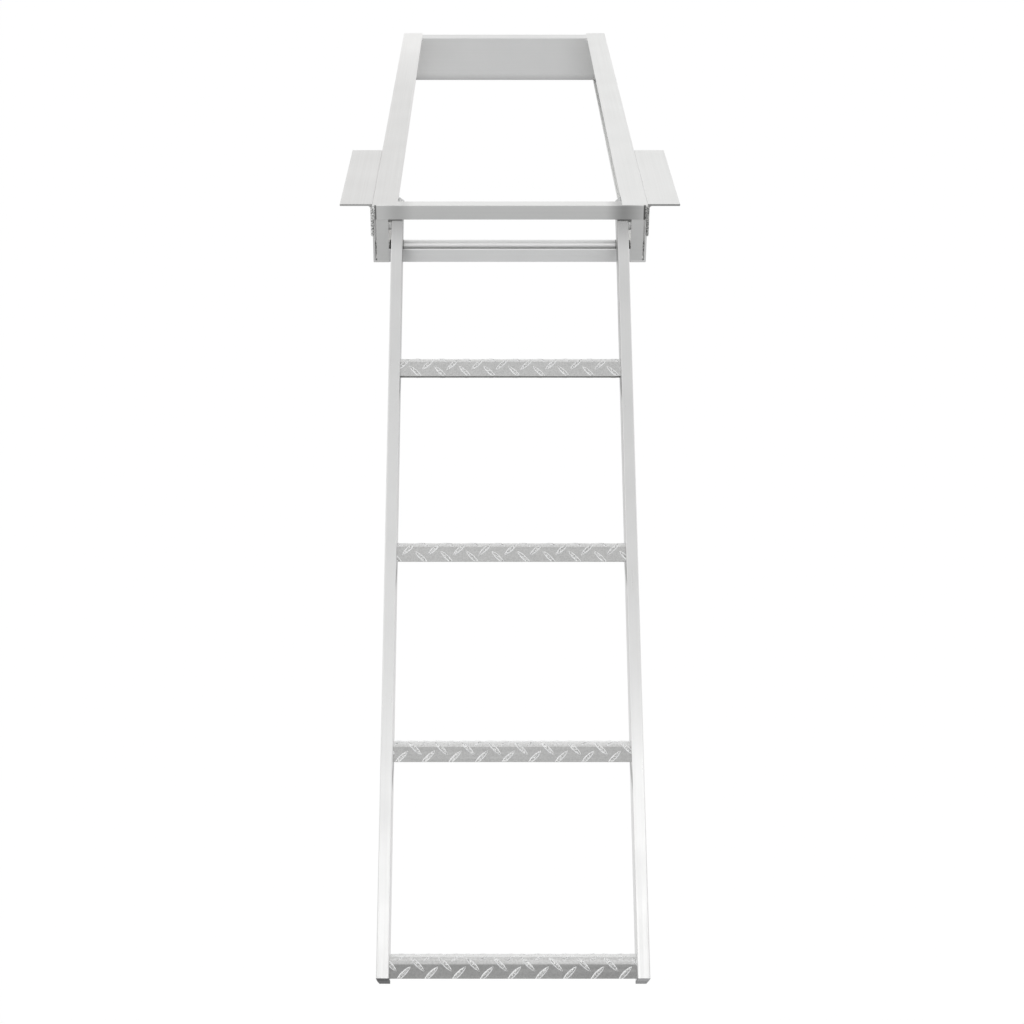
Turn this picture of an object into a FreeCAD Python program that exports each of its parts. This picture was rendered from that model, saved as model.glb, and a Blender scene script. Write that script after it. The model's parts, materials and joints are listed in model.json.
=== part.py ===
import FreeCAD, Part

import os
import re

import Sketcher

# Slide-out boarding ladder: a flat aluminium frame that hangs under a deck, and a four-tread
# ladder that swings down from a rod at the frame's front.
# The origin is on the top face of the front bar's top leg. X is right, Y runs to the rear, Z is up,
# and every top face lies at Z = 0. The ladder is shown hanging at its rest slope.

SIZES = [
    # Frame, in millimetres
    ("frame_width", 441.5),
    ("frame_length", 1251.0),
    ("frame_height", 96.0),
    ("origin_setback", 11.0),
    ("rail_wall", 3.2),
    ("rail_top_flange", 41.0),
    ("rail_bottom_flange", 25.4),
    ("rail_inner_radius", 2.0),
    ("rail_toe_radius", 1.0),
    ("rail_corner_radius", 1.2),
    # Front bars
    ("front_bar_height", 23.5),
    ("front_bar_leg", 21.8),
    ("front_bar_wall", 3.2),
    ("lower_bar_height", 21.5),
    ("lower_bar_setback", 1.5),
    ("lower_bar_leg", 20.0),
    ("lower_bar_wall", 3.2),
    ("bar_radius", 1.0),
    ("stop_bar_wall", 4.8),
    ("stop_bar_web_gap", 2.7),
    # Rear crossmember
    ("rear_inset", 15.5),
    ("rear_flange", 37.0),
    ("rear_height", 90.5),
    ("rear_wall", 3.2),
    # Mounting angles
    ("angle_leg", 52.0),
    ("angle_drop", 50.8),
    ("angle_wall", 3.2),
    ("angle_length", 312.0),
    ("angle_setback", 8.0),
    ("angle_radius", 4.0),
    ("angle_toe_radius", 1.0),
    # Rod and its sleeves
    ("rod_setback", 20.0),
    ("rod_depth", 73.6),
    ("rod_radius", 9.5),
    ("journal_radius", 6.5),
    ("sleeve_radius", 9.5),
    ("sleeve_bore_gap", 0.3),
    ("sleeve_length", 23.0),
    ("sleeve_overhang", 4.5),
    # Ladder
    ("rest_slope", 43.0),
    ("ladder_side_gap", 5.35),
    ("stringer_width", 18.0),
    ("stringer_depth", 38.0),
    ("stringer_wall", 2.5),
    ("stringer_radius", 1.5),
    ("stringer_above", 43.0),
    ("running_gap", 0.3),
    # Treads
    ("first_tread", 222.6),
    ("tread_spacing", 304.8),
    ("tread_setback", 3.0),
    ("tread_depth", 34.0),
    ("tread_tilt", 16.0),
    ("tread_front_wall", 29.0),
    ("tread_rear_wall", 27.0),
    ("tread_plate", 2.5),
    ("tread_bend_radius", 6.5),
    # End caps and stop studs
    ("cap_height", 3.5),
    ("cap_plug", 20.0),
    ("cap_plug_gap", 0.1),
    ("cap_outer_chamfer", 3.0),
    ("stud_radius", 10.0),
    ("stud_length", 16.0),
    ("stud_inset", 19.0),
    ("stud_seat_gap", 0.3),
]

TREADS = 4
SHEET = "sizes"


def make_sheet(doc):
    """Return the sheet that holds each driving dimension under its alias."""
    sheet = doc.addObject("Spreadsheet::Sheet", SHEET)
    for row, (alias, value) in enumerate(SIZES, start=1):
        sheet.set("A%d" % row, alias)
        sheet.set("B%d" % row, str(value))
        sheet.setAlias("B%d" % row, alias)
    doc.recompute()
    return sheet


class Modeller:
    """Makes bodies whose sketches and features follow the sheet."""

    def __init__(self):
        self.doc = FreeCAD.newDocument("boarding_ladder")
        self.sheet = make_sheet(self.doc)
        self.aliases = {alias for alias, _ in SIZES}
        self.nodes = []

    def value(self, text):
        """Return what an expression of aliases gives now."""
        found = self.sheet.evalExpression(text)
        return float(getattr(found, "Value", found))

    def bound(self, text):
        """Return an expression with each alias named through the sheet."""
        return re.sub("[a-z_]+", lambda word: self.through_sheet(word.group(0)), text)

    def through_sheet(self, word):
        """Return a word of an expression, with the sheet's name before it if it is an alias."""
        return "<<%s>>.%s" % (SHEET, word) if word in self.aliases else word

    def body(self, name, at=None, slope=None):
        """Return a new body whose place and slope follow the sheet."""
        body = self.doc.addObject("PartDesign::Body", name)
        body.Label = name
        if slope:
            turn = FreeCAD.Rotation(FreeCAD.Vector(1, 0, 0), self.value(slope))
            body.Placement = FreeCAD.Placement(FreeCAD.Vector(), turn)
            body.setExpression(".Placement.Rotation.Angle", self.bound(slope))
        for axis, text in (at or {}).items():
            body.setExpression(".Placement.Base.%s" % axis, self.bound(text))
        self.nodes.append(body)
        return body

    def sketch(self, body, name, role, offset=None):
        """Return a sketch on one of the body's own planes, moved along its normal."""
        plane = next(item for item in body.Origin.OriginFeatures if item.Role == role)
        sketch = body.newObject("Sketcher::SketchObject", name)
        sketch.AttachmentSupport = [(plane, "")]
        sketch.MapMode = "FlatFace"
        if offset:
            sketch.setExpression(".AttachmentOffset.Base.z", self.bound(offset))
        return sketch

    def place_point(self, sketch, geometry, point, across, up):
        """Hold a point of the sketch at two expressions, measured from the origin."""
        for kind, text, axis in (("DistanceX", across, -2), ("DistanceY", up, -1)):
            if text == "0":
                sketch.addConstraint(Sketcher.Constraint("PointOnObject", geometry, point, axis))
                continue
            size = self.value(text)
            index = sketch.addConstraint(Sketcher.Constraint(kind, -1, 1, geometry, point, size))
            sketch.setExpression("Constraints[%d]" % index, self.bound(text))

    def outline(self, sketch, corners):
        """Draw a closed outline through corners given as pairs of expressions."""
        points = [FreeCAD.Vector(self.value(across), self.value(up), 0) for across, up in corners]
        first = sketch.GeometryCount
        for start, end in zip(points, points[1:] + points[:1]):
            sketch.addGeometry(Part.LineSegment(start, end), False)
        for step, (across, up) in enumerate(corners):
            before = first + (step - 1) % len(corners)
            sketch.addConstraint(Sketcher.Constraint("Coincident", before, 2, first + step, 1))
            self.place_point(sketch, first + step, 1, across, up)

    def rectangle(self, sketch, left, right, low, high):
        """Draw a rectangle between four expressions."""
        self.outline(sketch, [(left, low), (right, low), (right, high), (left, high)])

    def circle(self, sketch, across, up, radius):
        """Draw a circle whose centre and radius are expressions."""
        centre = FreeCAD.Vector(self.value(across), self.value(up), 0)
        shape = Part.Circle(centre, FreeCAD.Vector(0, 0, 1), self.value(radius))
        geometry = sketch.addGeometry(shape, False)
        self.place_point(sketch, geometry, 3, across, up)
        index = sketch.addConstraint(Sketcher.Constraint("Radius", geometry, self.value(radius)))
        sketch.setExpression("Constraints[%d]" % index, self.bound(radius))

    def pad(self, body, sketch, length, reverse=False):
        """Pad a sketch by an expression and return the feature."""
        pad = body.newObject("PartDesign::Pad", sketch.Name + "_pad")
        pad.Profile = sketch
        pad.Reversed = reverse
        pad.Length = self.value(length)
        pad.setExpression("Length", self.bound(length))
        sketch.Visibility = False
        self.doc.recompute()
        return pad

    def edge_finish(self, body, kind, name, size, wanted):
        """Fillet or chamfer the edges of the body's tip that wanted() picks."""
        base = body.Tip
        names = ["Edge%d" % number for number, edge in enumerate(base.Shape.Edges, start=1) if wanted(edge)]
        feature = body.newObject("PartDesign::" + kind, name)
        feature.Base = (base, names)
        target = "Radius" if kind == "Fillet" else "Size"
        setattr(feature, target, self.value(size))
        feature.setExpression(target, self.bound(size))
        self.doc.recompute()
        return feature


def _near(value, *targets):
    """Tell whether a coordinate is one of the targets."""
    return any(abs(value - target) < 0.01 for target in targets)


def _along(edge, axis):
    """Tell whether a straight edge runs along an axis."""
    if edge.Curve.TypeId != "Part::GeomLine":
        return False
    direction = edge.Curve.Direction
    return abs(getattr(direction, axis)) > 0.99


# Each outward expression is written for the right side and mirrored by its sign for the left.

def side_name(side):
    """Return the word for a side."""
    return "right" if side > 0 else "left"


def mirrored(side, text):
    """Return an expression for the right side, with its sign turned for the left."""
    if text == "0":
        return text
    return text if side > 0 else "-(%s)" % text


FRONT = "-origin_setback"
RAIL_FRONT = "(front_bar_wall - origin_setback)"
HALF = "frame_width / 2"
WEB_INSIDE = "frame_width / 2 - rail_wall"
TOP_TOE = "frame_width / 2 - rail_top_flange"
BOTTOM_TOE = "frame_width / 2 - rail_bottom_flange"
LADDER_PLACE = {"y": "rod_setback - origin_setback", "z": "-rod_depth"}
STRINGER_BACK = "sleeve_radius + running_gap"
STRINGER_FRONT = "sleeve_radius + running_gap + stringer_depth"
LADDER_HALF = "(frame_width / 2 - rail_bottom_flange - ladder_side_gap)"
STRINGER_INSIDE = LADDER_HALF + " - stringer_width"
STRINGER_END = "first_tread + 3 * tread_spacing + tread_front_wall"


def make_rail(model, side):
    """A channel open to the inside, its top flange wider than its bottom one."""
    body = model.body(side_name(side) + "_rail", at={"y": RAIL_FRONT})
    sketch = model.sketch(body, body.Name + "_section", "XZ_Plane")
    corners = [
        (HALF, "0"),
        (HALF, "-frame_height"),
        (BOTTOM_TOE, "-frame_height"),
        (BOTTOM_TOE, "rail_wall - frame_height"),
        (WEB_INSIDE, "rail_wall - frame_height"),
        (WEB_INSIDE, "-rail_wall"),
        (TOP_TOE, "-rail_wall"),
        (TOP_TOE, "0"),
    ]
    model.outline(sketch, [(mirrored(side, across), up) for across, up in corners])
    model.pad(body, sketch, "frame_length - front_bar_wall", reverse=True)
    inside = model.value(WEB_INSIDE)
    toes = (model.value(TOP_TOE), model.value(BOTTOM_TOE))
    model.edge_finish(body, "Fillet", body.Name + "_inner", "rail_inner_radius",
                      lambda edge: _along(edge, "y") and _near(abs(edge.CenterOfMass.x), inside))
    model.edge_finish(body, "Fillet", body.Name + "_toes", "rail_toe_radius",
                      lambda edge: _along(edge, "y") and _near(abs(edge.CenterOfMass.x), *toes)
                      and not _near(edge.CenterOfMass.z, 0, -model.value("frame_height")))
    outside = model.value(HALF)
    model.edge_finish(body, "Fillet", body.Name + "_corners", "rail_corner_radius",
                      lambda edge: _along(edge, "y") and _near(abs(edge.CenterOfMass.x), outside))
    return body


def make_rear_crossmember(model):
    """A channel with its web to the front, its top flange coped between the rails' top flanges."""
    body = model.body("rear_crossmember", at={"y": "frame_length - rear_inset - rear_flange - origin_setback"})
    top = model.sketch(body, "rear_top_flange", "XZ_Plane")
    model.rectangle(top, "-(%s)" % TOP_TOE, TOP_TOE, "-rear_wall", "0")
    model.pad(body, top, "rear_flange", reverse=True)
    web = model.sketch(body, "rear_web", "XZ_Plane")
    model.rectangle(web, "-(%s)" % WEB_INSIDE, WEB_INSIDE, "-rear_height", "-rail_wall")
    model.pad(body, web, "rear_wall", reverse=True)
    low = model.sketch(body, "rear_bottom_flange", "XZ_Plane")
    model.rectangle(low, "-(%s)" % WEB_INSIDE, WEB_INSIDE, "-rear_height", "rear_wall - rear_height")
    model.pad(body, low, "rear_flange", reverse=True)
    side = model.value(WEB_INSIDE)
    high = -model.value("rail_wall")
    model.edge_finish(body, "Chamfer", "rear_cope", "rail_inner_radius",
                      lambda edge: _along(edge, "y") and _near(abs(edge.CenterOfMass.x), side)
                      and _near(edge.CenterOfMass.z, high))
    return body


def make_front_top_bar(model):
    """An angle: its upright leg crosses both rail ends, its top leg fits between their flanges."""
    body = model.body("front_top_bar", at={"y": FRONT})
    upright = model.sketch(body, "front_upright", "XZ_Plane")
    model.rectangle(upright, "-(%s)" % HALF, HALF, "-front_bar_height", "0")
    model.pad(body, upright, "front_bar_wall", reverse=True)
    leg = model.sketch(body, "front_leg", "XZ_Plane")
    model.rectangle(leg, "-(%s)" % TOP_TOE, TOP_TOE, "-front_bar_wall", "0")
    model.pad(body, leg, "front_bar_leg", reverse=True)
    low = -model.value("front_bar_height")
    model.edge_finish(body, "Fillet", "front_bar_edges", "bar_radius",
                      lambda edge: _along(edge, "x") and _near(edge.CenterOfMass.y, 0)
                      and _near(edge.CenterOfMass.z, 0, low))
    return body


def make_front_lower_bar(model):
    """An angle between the stop bars, with its foot level with the rails' bottom flanges."""
    body = model.body("front_lower_bar", at={"y": RAIL_FRONT + " + lower_bar_setback"})
    upright = model.sketch(body, "lower_upright", "XZ_Plane")
    model.rectangle(upright, "-(%s)" % BOTTOM_TOE, BOTTOM_TOE,
                    "-frame_height", "lower_bar_height - frame_height")
    model.pad(body, upright, "lower_bar_wall", reverse=True)
    leg = model.sketch(body, "lower_leg", "XZ_Plane")
    model.rectangle(leg, "-(%s)" % BOTTOM_TOE, BOTTOM_TOE,
                    "-frame_height", "lower_bar_wall - frame_height")
    model.pad(body, leg, "lower_bar_leg", reverse=True)
    high = model.value("lower_bar_height - frame_height")
    model.edge_finish(body, "Fillet", "lower_bar_edges", "bar_radius",
                      lambda edge: _along(edge, "x") and _near(edge.CenterOfMass.y, 0)
                      and _near(edge.CenterOfMass.z, high))
    return body


def make_stop_bar(model, side):
    """A flat bar that closes a rail's mouth from flange to flange."""
    body = model.body(side_name(side) + "_stop_bar", at={"y": RAIL_FRONT})
    sketch = model.sketch(body, body.Name + "_section", "XZ_Plane")
    outer = WEB_INSIDE + " - stop_bar_web_gap"
    model.rectangle(sketch, mirrored(side, BOTTOM_TOE), mirrored(side, outer),
                    "rail_wall - frame_height", "-rail_wall")
    model.pad(body, sketch, "stop_bar_wall", reverse=True)
    return body


def make_mounting_angle(model, side):
    """An angle on the rail's outside, its flange level with the frame's top."""
    body = model.body(side_name(side) + "_mounting_angle", at={"y": FRONT + " + angle_setback"})
    sketch = model.sketch(body, body.Name + "_section", "XZ_Plane")
    corners = [
        (HALF, "0"),
        (HALF + " + angle_leg", "0"),
        (HALF + " + angle_leg", "-angle_wall"),
        (HALF + " + angle_wall", "-angle_wall"),
        (HALF + " + angle_wall", "-angle_drop"),
        (HALF, "-angle_drop"),
    ]
    model.outline(sketch, [(mirrored(side, across), up) for across, up in corners])
    model.pad(body, sketch, "angle_length", reverse=True)
    corner = model.value(HALF + " + angle_wall")
    wall = -model.value("angle_wall")
    model.edge_finish(body, "Fillet", body.Name + "_root", "angle_radius",
                      lambda edge: _along(edge, "y") and _near(abs(edge.CenterOfMass.x), corner)
                      and _near(edge.CenterOfMass.z, wall))
    seam = model.value(HALF)
    toe = model.value(HALF + " + angle_leg")
    model.edge_finish(body, "Fillet", body.Name + "_toes", "angle_toe_radius",
                      lambda edge: _along(edge, "y") and _near(edge.CenterOfMass.z, 0, wall)
                      and _near(abs(edge.CenterOfMass.x), seam, toe))
    return body


def make_roller_rod(model):
    """A rod from web to web, turned down at both ends where the sleeves sit."""
    body = model.body("roller_rod", at=LADDER_PLACE)
    sketch = model.sketch(body, "rod_half_section", "XY_Plane")
    shoulder = LADDER_HALF + " + sleeve_overhang - sleeve_length"
    corners = [
        ("-(%s)" % WEB_INSIDE, "0"),
        (WEB_INSIDE, "0"),
        (WEB_INSIDE, "journal_radius"),
        (shoulder, "journal_radius"),
        (shoulder, "rod_radius"),
        ("-(%s)" % shoulder, "rod_radius"),
        ("-(%s)" % shoulder, "journal_radius"),
        ("-(%s)" % WEB_INSIDE, "journal_radius"),
    ]
    model.outline(sketch, corners)
    turned = body.newObject("PartDesign::Revolution", "rod_turned")
    turned.Profile = sketch
    turned.ReferenceAxis = (sketch, ["H_Axis"])
    turned.Angle = 360
    sketch.Visibility = False
    model.doc.recompute()
    return body


def make_rod_sleeve(model, side):
    """A plastic sleeve on the rod's turned end, under the stringer."""
    body = model.body(side_name(side) + "_rod_sleeve", at=LADDER_PLACE)
    start = LADDER_HALF + " + sleeve_overhang - sleeve_length"
    if side < 0:
        start = "-(%s + sleeve_overhang)" % LADDER_HALF
    sketch = model.sketch(body, body.Name + "_section", "YZ_Plane", offset=start)
    model.circle(sketch, "0", "0", "sleeve_radius")
    model.circle(sketch, "0", "0", "journal_radius + sleeve_bore_gap")
    model.pad(body, sketch, "sleeve_length")
    return body


def make_stringer(model, side):
    """A rectangular tube that rides on its sleeve."""
    body = model.body(side_name(side) + "_stringer", at=LADDER_PLACE, slope="rest_slope")
    sketch = model.sketch(body, body.Name + "_section", "XZ_Plane", offset="-stringer_above")
    model.rectangle(sketch, mirrored(side, STRINGER_INSIDE), mirrored(side, LADDER_HALF),
                    STRINGER_BACK, STRINGER_FRONT)
    model.rectangle(sketch, mirrored(side, STRINGER_INSIDE + " + stringer_wall"),
                    mirrored(side, LADDER_HALF + " - stringer_wall"),
                    STRINGER_BACK + " + stringer_wall", STRINGER_FRONT + " - stringer_wall")
    model.pad(body, sketch, STRINGER_END + " + stringer_above")
    sides = (model.value(STRINGER_INSIDE), model.value(LADDER_HALF))
    model.edge_finish(body, "Fillet", body.Name + "_corners", "stringer_radius",
                      lambda edge: edge.Length > model.value("first_tread")
                      and _near(abs(edge.CenterOfMass.x), *sides))
    return body


def make_tread(model, number):
    """An inverted U of bent plate between the stringers, its top tilted back towards the level."""
    body = model.body("tread_%d" % number, at=LADDER_PLACE, slope="rest_slope")
    sketch = model.sketch(body, body.Name + "_section", "YZ_Plane", offset="-(%s)" % STRINGER_INSIDE)
    top = "-(first_tread + %d * tread_spacing)" % (number - 1)
    front = STRINGER_FRONT + " - tread_setback"
    back = front + " - tread_depth"
    rear_top = top + " + tread_depth * tan(tread_tilt * 1 deg)"
    under = " - tread_plate / cos(tread_tilt * 1 deg)"
    inner_front = top + " + tread_plate * tan(tread_tilt * 1 deg)" + under
    inner_rear = top + " + (tread_depth - tread_plate) * tan(tread_tilt * 1 deg)" + under
    corners = [
        (top, front),
        (top + " - tread_front_wall", front),
        (top + " - tread_front_wall", front + " - tread_plate"),
        (inner_front, front + " - tread_plate"),
        (inner_rear, back + " + tread_plate"),
        (rear_top + " - tread_rear_wall", back + " + tread_plate"),
        (rear_top + " - tread_rear_wall", back),
        (rear_top, back),
    ]
    model.outline(sketch, corners)
    model.pad(body, sketch, "2 * (%s)" % STRINGER_INSIDE)
    reach = 2 * model.value(STRINGER_INSIDE) - 1
    outside = (model.value(top), model.value(rear_top))
    inside = (model.value(inner_front), model.value(inner_rear))
    model.edge_finish(body, "Fillet", body.Name + "_outer_bends", "tread_bend_radius",
                      lambda edge: edge.Length > reach and _near(edge.CenterOfMass.y, *outside))
    model.edge_finish(body, "Fillet", body.Name + "_inner_bends", "tread_bend_radius - tread_plate",
                      lambda edge: edge.Length > reach and _near(edge.CenterOfMass.y, *inside))
    return body


def make_end_cap(model, side):
    """A plastic plug in the tube's lower end, its head chamfered on the outer side."""
    body = model.body(side_name(side) + "_end_cap", at=LADDER_PLACE, slope="rest_slope")
    head = model.sketch(body, body.Name + "_head", "XZ_Plane", offset=STRINGER_END)
    model.rectangle(head, mirrored(side, STRINGER_INSIDE), mirrored(side, LADDER_HALF),
                    STRINGER_BACK, STRINGER_FRONT)
    model.pad(body, head, "cap_height")
    plug = model.sketch(body, body.Name + "_plug", "XZ_Plane", offset=STRINGER_END)
    inset = " + stringer_wall + cap_plug_gap"
    model.rectangle(plug, mirrored(side, STRINGER_INSIDE + inset),
                    mirrored(side, LADDER_HALF + " - stringer_wall - cap_plug_gap"),
                    STRINGER_BACK + inset, STRINGER_FRONT + " - stringer_wall - cap_plug_gap")
    model.pad(body, plug, "cap_plug", reverse=True)
    outer = model.value(LADDER_HALF)
    low = -model.value(STRINGER_END + " + cap_height")
    model.edge_finish(body, "Chamfer", body.Name + "_chamfer", "cap_outer_chamfer",
                      lambda edge: _near(abs(edge.CenterOfMass.x), outer)
                      and _near(edge.CenterOfMass.y, low))
    return body


def make_stop_stud(model, side):
    """A round stud on the stringer's outer face that rests behind the stop bar."""
    body = model.body(side_name(side) + "_stop_stud", at=LADDER_PLACE, slope="rest_slope")
    start = LADDER_HALF if side > 0 else "-(%s + stud_length)" % LADDER_HALF
    sketch = model.sketch(body, body.Name + "_section", "YZ_Plane", offset=start)
    up = STRINGER_BACK + " + stud_inset"
    seat = "(front_bar_wall + stop_bar_wall + stud_seat_gap + stud_radius - rod_setback)"
    along = "(%s + (%s) * sin(rest_slope * 1 deg)) / cos(rest_slope * 1 deg)" % (seat, up)
    model.circle(sketch, along, up, "stud_radius")
    model.pad(body, sketch, "stud_length")
    return body


def check_document(model):
    """Stop if an object failed, or a sub-part has no valid solid."""
    for item in model.doc.Objects:
        if "Invalid" in item.State or "Error" in item.State:
            raise RuntimeError("failed: %s %s" % (item.Name, item.State))
    for node in model.nodes:
        if node.Shape.isNull() or not node.Shape.isValid() or not node.Shape.Solids:
            raise RuntimeError("no valid solid: " + node.Label)


def main():
    """Build every sub-part and write each one to its own file."""
    model = Modeller()
    make_rear_crossmember(model)
    make_front_top_bar(model)
    make_front_lower_bar(model)
    make_roller_rod(model)
    for side in (-1, 1):
        make_rail(model, side)
        make_stop_bar(model, side)
        make_mounting_angle(model, side)
        make_rod_sleeve(model, side)
        make_stringer(model, side)
        make_end_cap(model, side)
        make_stop_stud(model, side)
    for number in range(1, TREADS + 1):
        make_tread(model, number)
    model.doc.recompute()
    check_document(model)
    os.makedirs("parts", exist_ok=True)
    for node in model.nodes:
        node.Shape.exportStep("parts/%s.step" % node.Label)
        box = node.Shape.BoundBox
        print("%s volume %.0f box %.1f %.1f %.1f to %.1f %.1f %.1f" % (
            node.Label, node.Shape.Volume, box.XMin, box.YMin, box.ZMin, box.XMax, box.YMax, box.ZMax))


main()
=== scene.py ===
"""Dress the slide-out boarding ladder: mill aluminium, raised tread pattern, weld beads and a studio."""

import json
import logging
import math
from dataclasses import dataclass, field, replace
from enum import Enum
from typing import Iterable

import bmesh
import bpy
from mathutils import Euler, Matrix, Vector


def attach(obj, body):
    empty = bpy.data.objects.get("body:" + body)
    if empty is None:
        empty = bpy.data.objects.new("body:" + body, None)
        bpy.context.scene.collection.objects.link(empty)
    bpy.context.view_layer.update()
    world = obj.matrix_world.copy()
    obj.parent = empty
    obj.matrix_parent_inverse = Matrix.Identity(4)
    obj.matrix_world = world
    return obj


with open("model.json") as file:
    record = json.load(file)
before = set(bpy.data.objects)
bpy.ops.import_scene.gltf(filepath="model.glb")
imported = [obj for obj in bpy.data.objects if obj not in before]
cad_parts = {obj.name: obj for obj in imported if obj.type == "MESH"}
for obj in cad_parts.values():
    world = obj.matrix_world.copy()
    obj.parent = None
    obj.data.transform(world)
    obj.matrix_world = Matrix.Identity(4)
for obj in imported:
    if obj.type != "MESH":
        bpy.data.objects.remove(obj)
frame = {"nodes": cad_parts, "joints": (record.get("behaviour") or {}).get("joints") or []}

LOG = logging.getLogger("boarding_ladder")
Tree = bpy.types.NodeTree
Socket = bpy.types.NodeSocket
Triple = tuple[float, float, float]

MM = 0.001
PHOTO_PIXELS = 1024
SENSOR_MM = 36.0
SLOPE_DEG = 43.0
TREAD_COUNT = 4


class Body(Enum):
    """The two rigid bodies of the ladder."""

    FRAME = "frame"
    LADDER = "ladder"


class Slot(Enum):
    """The record's material slots, which the script names but does not use."""

    FRAME_METAL = "frame_metal"
    TREAD_PLATE = "tread_plate"


class Grain(Enum):
    """The way a part's drawing lines run, as the turn that lays them along X."""

    ACROSS = (0.0, 0.0, 0.0)
    LENGTHWISE = (0.0, 0.0, math.radians(-90.0))


class Measure(Enum):
    """What a band is measured by: the place on the piece, or the way its surface faces."""

    PLACE = "Object"
    FACING = "Normal"


@dataclass(frozen=True)
class PaintedLightBand:
    """A band of painted shade on the metal, or of painted highlight if the depth is negative.

    It is strongest at its level and ends at its reach. At softness 1 it fades all the way there,
    and at less over that outer share. A band of depth 0 only limits another.
    """

    axis: str
    level: float
    reach: float
    depth: float
    softness: float = 1.0
    measure: Measure = Measure.PLACE
    within: "PaintedLightBand | None" = None

    @classmethod
    def facing(cls, axis: str, level: float, reach: float, depth: float, softness: float = 0.3,
               within: "PaintedLightBand | None" = None) -> "PaintedLightBand":
        """Return a band that lies where the surface faces one way."""
        return cls(axis, level, reach, depth, softness, Measure.FACING, within)


@dataclass(frozen=True)
class MetalFinish:
    """A mill or brushed aluminium finish."""

    name: str
    colour: Triple
    roughness: float
    grain: Grain = Grain.ACROSS
    slope_deg: float = 0.0
    streak_depth: float = 0.05
    cloud_depth: float = 0.05
    bump: float = 0.05
    metallic: float = 0.9
    speck_depth: float = 0.0
    bands: tuple[PaintedLightBand, ...] = ()


@dataclass(frozen=True)
class PlasticFinish:
    """A moulded plastic finish."""

    name: str
    colour: Triple
    roughness: float
    bump: float = 0.04


def link(tree: Tree, source: Socket, target: Socket) -> None:
    """Join two sockets of a node tree."""
    tree.links.new(source, target)


def feed(tree: Tree, value: object, target: Socket) -> None:
    """Give a socket its value, which is another socket or a number."""
    if isinstance(value, Socket):
        link(tree, value, target)
    else:
        target.default_value = value


def new_group(name: str, inputs: dict[str, tuple[str, object]], outputs: dict[str, str]) -> Tree:
    """Make an empty shader group with named sockets.

    Args:
        name: The group's name.
        inputs: Socket name to its type and default value.
        outputs: Socket name to its type.

    Returns:
        The group, with its input and output nodes in place.
    """
    group = bpy.data.node_groups.new(name, "ShaderNodeTree")
    for label, (kind, value) in inputs.items():
        socket = group.interface.new_socket(label, in_out="INPUT", socket_type=kind)
        if value is not None:
            socket.default_value = value
    for label, kind in outputs.items():
        group.interface.new_socket(label, in_out="OUTPUT", socket_type=kind)
    group.nodes.new("NodeGroupInput").name = "inputs"
    group.nodes.new("NodeGroupOutput").name = "outputs"
    return group


def math_node(tree: Tree, operation: str, *values: object) -> Socket:
    """Add a Math node whose inputs are sockets or numbers.

    Args:
        tree: The tree to add to.
        operation: Blender's name of the operation.
        values: A socket to link, or a number to set, for each input.

    Returns:
        The node's output socket.
    """
    node = tree.nodes.new("ShaderNodeMath")
    node.operation = operation
    for socket, value in zip(node.inputs, values):
        feed(tree, value, socket)
    return node.outputs[0]


def smooth_range(tree: Tree, value: Socket, low: float, high: float) -> Socket:
    """Add a Map Range node that goes smoothly from 0 at low to 1 at high.

    Args:
        tree: The tree to add to.
        value: The socket to map.
        low: The value that gives 0.
        high: The value that gives 1. It may be the lesser one.

    Returns:
        The node's output socket.
    """
    node = tree.nodes.new("ShaderNodeMapRange")
    node.interpolation_type = "SMOOTHSTEP"
    link(tree, value, node.inputs["Value"])
    for label, number in (("From Min", min(low, high)), ("From Max", max(low, high)),
                          ("To Min", 0.0 if low < high else 1.0), ("To Max", 1.0 if low < high else 0.0)):
        node.inputs[label].default_value = number
    return node.outputs["Result"]


def noise(tree: Tree, vector: Socket, scale: float, detail: float) -> Socket:
    """Add a Noise Texture and return its factor."""
    node = tree.nodes.new("ShaderNodeTexNoise")
    node.inputs["Scale"].default_value = scale
    node.inputs["Detail"].default_value = detail
    link(tree, vector, node.inputs["Vector"])
    return node.outputs["Fac"]


def scaled_colour(tree: Tree, colour: Socket, factor: Socket) -> Socket:
    """Multiply a colour by a number."""
    tint = tree.nodes.new("ShaderNodeVectorMath")
    tint.operation = "SCALE"
    link(tree, colour, tint.inputs[0])
    link(tree, factor, tint.inputs["Scale"])
    return tint.outputs[0]


def relief(tree: Tree, height: Socket, strength: object, distance: float) -> Socket:
    """Add a Bump node, with its strength from a socket or a number, and return its normal."""
    bump = tree.nodes.new("ShaderNodeBump")
    bump.inputs["Distance"].default_value = distance
    feed(tree, strength, bump.inputs["Strength"])
    link(tree, height, bump.inputs["Height"])
    return bump.outputs["Normal"]


def coordinate(tree: Tree, kind: str, axis: str) -> Socket:
    """Return one axis of one kind of texture coordinate."""
    coordinates = tree.nodes.new("ShaderNodeTexCoord")
    parts = tree.nodes.new("ShaderNodeSeparateXYZ")
    link(tree, coordinates.outputs[kind], parts.inputs[0])
    return parts.outputs[axis]


def mixed_shaders(tree: Tree, factor: Socket, first: Socket, second: Socket) -> Socket:
    """Mix two shaders: the first one at 0, and the second at 1."""
    mix = tree.nodes.new("ShaderNodeMixShader")
    link(tree, factor, mix.inputs["Fac"])
    link(tree, first, mix.inputs[1])
    link(tree, second, mix.inputs[2])
    return mix.outputs[0]


# Drawn metal, with streaks along X. Each noise has its scale and its detail.
STREAK_STRETCH = (2.5, 420.0, 420.0)
STREAK_NOISE = (1.0, 3.0)
CLOUD_NOISE = (14.0, 4.0)
SPECK_NOISE = (480.0, 2.0)
SPECK_LIMITS = (0.34, 0.66)
ROUGHNESS_SPREAD = 0.22
STREAK_HEIGHT = 0.0004
# The film of oxide on the metal.
FILM_IOR = 1.45

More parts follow.
